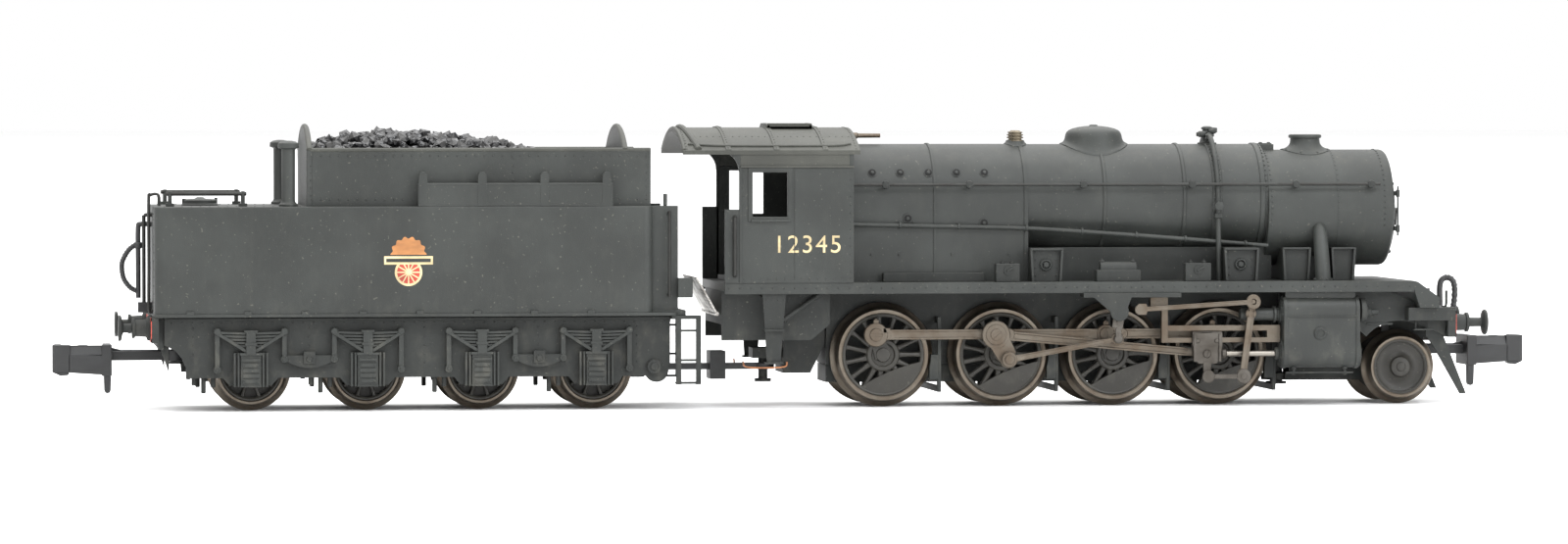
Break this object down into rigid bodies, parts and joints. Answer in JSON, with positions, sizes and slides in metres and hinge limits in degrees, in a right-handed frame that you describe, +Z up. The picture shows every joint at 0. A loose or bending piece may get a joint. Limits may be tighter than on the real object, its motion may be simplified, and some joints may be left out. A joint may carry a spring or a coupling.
{
  "type": "model steam locomotive",
  "caption": "Model steam locomotive with tender for nine millimetre gauge track: spoked coupled wheels, outside valve motion, swivelling leading truck and hook couplers.",
  "frame": {"origin": "midway between the tips of the two couplers, on the centre line, at the bottom of the wheel flanges", "axes": "+X towards the engine's front, +Z up, negative Y on the near side in the picture"},
  "size_m": [0.1424, 0.0188, 0.027],
  "materials": {
    "beam_black": "black with a red front face",
    "body_black": "satin weathered black",
    "brass_valves": "dull brass",
    "bright_metal": "plated",
    "cast_weight": "painted casting",
    "coal_black": "glossy lumps",
    "coupler_black": "moulded",
    "cylinder_metal": "painted casting",
    "frame_black": "matt, dusty",
    "handrail_wire": "painted wire",
    "motion_metal": "blackened nickel",
    "motor_steel": "plated can",
    "smoke_black": "matt soot black",
    "wheel_metal": "nickel tyres on dark centres"
  },
  "bodies": {
    "engine": {"chassis": "cast_weight", "keeper_plate": "cast_weight", "motor": "motor_steel", "footplate": "frame_black", "front_beam": "beam_black", "front_fittings": "frame_black", "cylinders": "cylinder_metal", "slide_bars": "motion_metal", "motion_brackets": "frame_black", "frame_stays": "frame_black", "platform_boxes": "frame_black", "brake_gear": "frame_black", "ashpan": "frame_black", "boiler": "body_black", "smokebox": "smoke_black", "smokebox_door": "smoke_black", "chimney": "smoke_black", "dome": "body_black", "safety_valves": "brass_valves", "top_feed": "body_black", "engine_handrails": "handrail_wire", "engine_pipes": "body_black", "cab": "body_black", "cab_roof": "body_black", "backhead": "body_black"},
    "worm": {"worm_shaft": "brass_valves"},
    "drawbar": {"drawbar": "frame_black"},
    "fall_plate": {"fall_plate": "bright_metal"},
    "pony_truck": {"pony_truck": "frame_black"},
    "pony_wheelset": {"pony_wheelset": "wheel_metal"},
    "coupler_front": {"coupler_front": "coupler_black"},
    "coupler_rear": {"coupler_rear": "coupler_black"},
    "tender": {"tender_tank": "body_black", "coal_load": "coal_black", "tender_frames": "frame_black", "tender_floor": "frame_black", "tender_bearings": "frame_black", "tender_beam": "beam_black", "tender_buffers": "frame_black", "tender_steps": "frame_black", "tender_fittings": "body_black"},
    "driver_3": {"driver_3": "wheel_metal"},
    "driver_1": {"driver_1": "wheel_metal"},
    "driver_2": {"driver_2": "wheel_metal"},
    "driver_4": {"driver_4": "wheel_metal"},
    "coupling_rod_near": {"coupling_rod_near": "motion_metal"},
    "connecting_rod_near": {"connecting_rod_near": "motion_metal"},
    "eccentric_rod_near": {"eccentric_rod_near": "motion_metal"},
    "crosshead_near": {"crosshead_near": "bright_metal"},
    "combination_lever_near": {"combination_lever_near": "motion_metal"},
    "radius_rod_near": {"radius_rod_near": "motion_metal"},
    "expansion_link_near": {"expansion_link_near": "bright_metal"},
    "coupling_rod_far": {"coupling_rod_far": "motion_metal"},
    "connecting_rod_far": {"connecting_rod_far": "motion_metal"},
    "eccentric_rod_far": {"eccentric_rod_far": "motion_metal"},
    "crosshead_far": {"crosshead_far": "bright_metal"},
    "combination_lever_far": {"combination_lever_far": "motion_metal"},
    "radius_rod_far": {"radius_rod_far": "motion_metal"},
    "expansion_link_far": {"expansion_link_far": "bright_metal"},
    "tender_wheelset_1": {"tender_wheelset_1": "wheel_metal"},
    "tender_wheelset_2": {"tender_wheelset_2": "wheel_metal"},
    "tender_wheelset_3": {"tender_wheelset_3": "wheel_metal"},
    "tender_wheelset_4": {"tender_wheelset_4": "wheel_metal"}
  },
  "joints": [
    {"name": "driver_3_spin", "type": "hinge", "parent": "engine", "child": "driver_3", "pos_m": [0.0191, 0, 0.005], "axis": [0, 1, 0], "continuous": true},
    {"name": "driver_1_spin", "type": "hinge", "parent": "engine", "child": "driver_1", "pos_m": [0.0404, 0, 0.005], "axis": [0, 1, 0], "continuous": true},
    {"name": "driver_2_spin", "type": "hinge", "parent": "engine", "child": "driver_2", "pos_m": [0.03, 0, 0.005], "axis": [0, 1, 0], "continuous": true},
    {"name": "driver_4_spin", "type": "hinge", "parent": "engine", "child": "driver_4", "pos_m": [0.0077, 0, 0.005], "axis": [0, 1, 0], "continuous": true},
    {"name": "worm_spin", "type": "hinge", "parent": "engine", "child": "worm", "pos_m": [0.0116, 0, 0.00835], "axis": [1, 0, 0], "continuous": true},
    {"name": "coupling_rod_near_turn", "type": "hinge", "parent": "driver_3", "child": "coupling_rod_near", "pos_m": [0.01831, -0.00607, 0.00695], "axis": [0, 1, 0], "continuous": true},
    {"name": "connecting_rod_near_turn", "type": "hinge", "parent": "driver_3", "child": "connecting_rod_near", "pos_m": [0.01831, -0.00687, 0.00695], "axis": [0, 1, 0], "continuous": true},
    {"name": "eccentric_rod_near_turn", "type": "hinge", "parent": "driver_3", "child": "eccentric_rod_near", "pos_m": [0.01953, -0.00805, 0.00458], "axis": [0, 1, 0], "continuous": true},
    {"name": "crosshead_near_slide", "type": "slide", "parent": "engine", "child": "crosshead_near", "axis": [1, 0, 0], "range_m": [-0.00125, 0.00299]},
    {"name": "combination_lever_near_swing", "type": "hinge", "parent": "engine", "child": "combination_lever_near", "pos_m": [0.0429, -0.00865, 0.0089], "axis": [0, 1, 0], "range_deg": [-29.34, 12.44]},
    {"name": "radius_rod_near_swing", "type": "hinge", "parent": "combination_lever_near", "child": "radius_rod_near", "pos_m": [0.04305, -0.0091, 0.01004], "axis": [0, 1, 0], "range_deg": [-12.44, 29.34]},
    {"name": "expansion_link_near_swing", "type": "hinge", "parent": "engine", "child": "expansion_link_near", "pos_m": [0.03, -0.00865, 0.00915], "axis": [0, 1, 0], "range_deg": [-8, 8]},
    {"name": "coupling_rod_far_turn", "type": "hinge", "parent": "driver_3", "child": "coupling_rod_far", "pos_m": [0.02105, 0.00607, 0.00579], "axis": [0, 1, 0], "continuous": true},
    {"name": "connecting_rod_far_turn", "type": "hinge", "parent": "driver_3", "child": "connecting_rod_far", "pos_m": [0.02105, 0.00687, 0.00579], "axis": [0, 1, 0], "continuous": true},
    {"name": "eccentric_rod_far_turn", "type": "hinge", "parent": "driver_3", "child": "eccentric_rod_far", "pos_m": [0.01868, 0.00805, 0.00457], "axis": [0, 1, 0], "continuous": true},
    {"name": "crosshead_far_slide", "type": "slide", "parent": "engine", "child": "crosshead_far", "axis": [1, 0, 0], "range_m": [-0.00405, 0.00019]},
    {"name": "combination_lever_far_swing", "type": "hinge", "parent": "engine", "child": "combination_lever_far", "pos_m": [0.0429, 0.00865, 0.0089], "axis": [0, 1, 0], "range_deg": [-2.15, 39.63]},
    {"name": "radius_rod_far_swing", "type": "hinge", "parent": "combination_lever_far", "child": "radius_rod_far", "pos_m": [0.0425, 0.0091, 0.00998], "axis": [0, 1, 0], "range_deg": [-39.63, 2.15]},
    {"name": "expansion_link_far_swing", "type": "hinge", "parent": "engine", "child": "expansion_link_far", "pos_m": [0.03, 0.00865, 0.00915], "axis": [0, 1, 0], "range_deg": [-8, 8]},
    {"name": "pony_swivel", "type": "hinge", "parent": "engine", "child": "pony_truck", "pos_m": [0.0472, 0, 0.0025], "axis": [0, 0, 1], "range_deg": [-4, 4]},
    {"name": "pony_spin", "type": "hinge", "parent": "pony_truck", "child": "pony_wheelset", "pos_m": [0.0583, 0, 0.0036], "axis": [0, 1, 0], "continuous": true},
    {"name": "coupler_front_swing", "type": "hinge", "parent": "engine", "child": "coupler_front", "pos_m": [0.05955, 0, 0.0051], "axis": [0, 0, 1], "range_deg": [-6, 6]},
    {"name": "fall_plate_tilt", "type": "hinge", "parent": "engine", "child": "fall_plate", "pos_m": [-0.0083, 0, 0.009], "axis": [0, 1, 0], "range_deg": [-35, 15]},
    {"name": "drawbar_swing", "type": "hinge", "parent": "engine", "child": "drawbar", "pos_m": [-0.0032, 0, 0.0038], "axis": [0, 0, 1], "range_deg": [-5, 5]},
    {"name": "tender_swing", "type": "hinge", "parent": "drawbar", "child": "tender", "pos_m": [-0.0155, 0, 0.0038], "axis": [0, 0, 1], "range_deg": [-5, 5]},
    {"name": "coupler_rear_swing", "type": "hinge", "parent": "tender", "child": "coupler_rear", "pos_m": [-0.05955, 0, 0.0051], "axis": [0, 0, 1], "range_deg": [-6, 6]},
    {"name": "tender_wheelset_1_spin", "type": "hinge", "parent": "tender", "child": "tender_wheelset_1", "pos_m": [-0.0202, 0, 0.00385], "axis": [0, 1, 0], "continuous": true},
    {"name": "tender_wheelset_2_spin", "type": "hinge", "parent": "tender", "child": "tender_wheelset_2", "pos_m": [-0.031, 0, 0.00385], "axis": [0, 1, 0], "continuous": true},
    {"name": "tender_wheelset_3_spin", "type": "hinge", "parent": "tender", "child": "tender_wheelset_3", "pos_m": [-0.0418, 0, 0.00385], "axis": [0, 1, 0], "continuous": true},
    {"name": "tender_wheelset_4_spin", "type": "hinge", "parent": "tender", "child": "tender_wheelset_4", "pos_m": [-0.0527, 0, 0.00385], "axis": [0, 1, 0], "continuous": true}
  ],
  "couplings": [
    {"joint": "driver_1_spin", "follows": "driver_3_spin", "ratio": 1},
    {"joint": "driver_2_spin", "follows": "driver_3_spin", "ratio": 1},
    {"joint": "driver_4_spin", "follows": "driver_3_spin", "ratio": 1},
    {"joint": "worm_spin", "follows": "driver_3_spin", "ratio": 24},
    {"joint": "coupling_rod_near_turn", "follows": "driver_3_spin", "ratio": -1},
    {"joint": "connecting_rod_near_turn", "follows": "driver_3_spin", "ratio": -1},
    {"joint": "eccentric_rod_near_turn", "follows": "driver_3_spin", "ratio": -1},
    {"joint": "combination_lever_near_swing", "follows": "crosshead_near_slide", "rad_per_m": -169.49},
    {"joint": "radius_rod_near_swing", "follows": "crosshead_near_slide", "rad_per_m": 169.49},
    {"joint": "coupling_rod_far_turn", "follows": "driver_3_spin", "ratio": -1},
    {"joint": "connecting_rod_far_turn", "follows": "driver_3_spin", "ratio": -1},
    {"joint": "eccentric_rod_far_turn", "follows": "driver_3_spin", "ratio": -1},
    {"joint": "combination_lever_far_swing", "follows": "crosshead_far_slide", "rad_per_m": -169.49},
    {"joint": "radius_rod_far_swing", "follows": "crosshead_far_slide", "rad_per_m": 169.49}
  ]
}
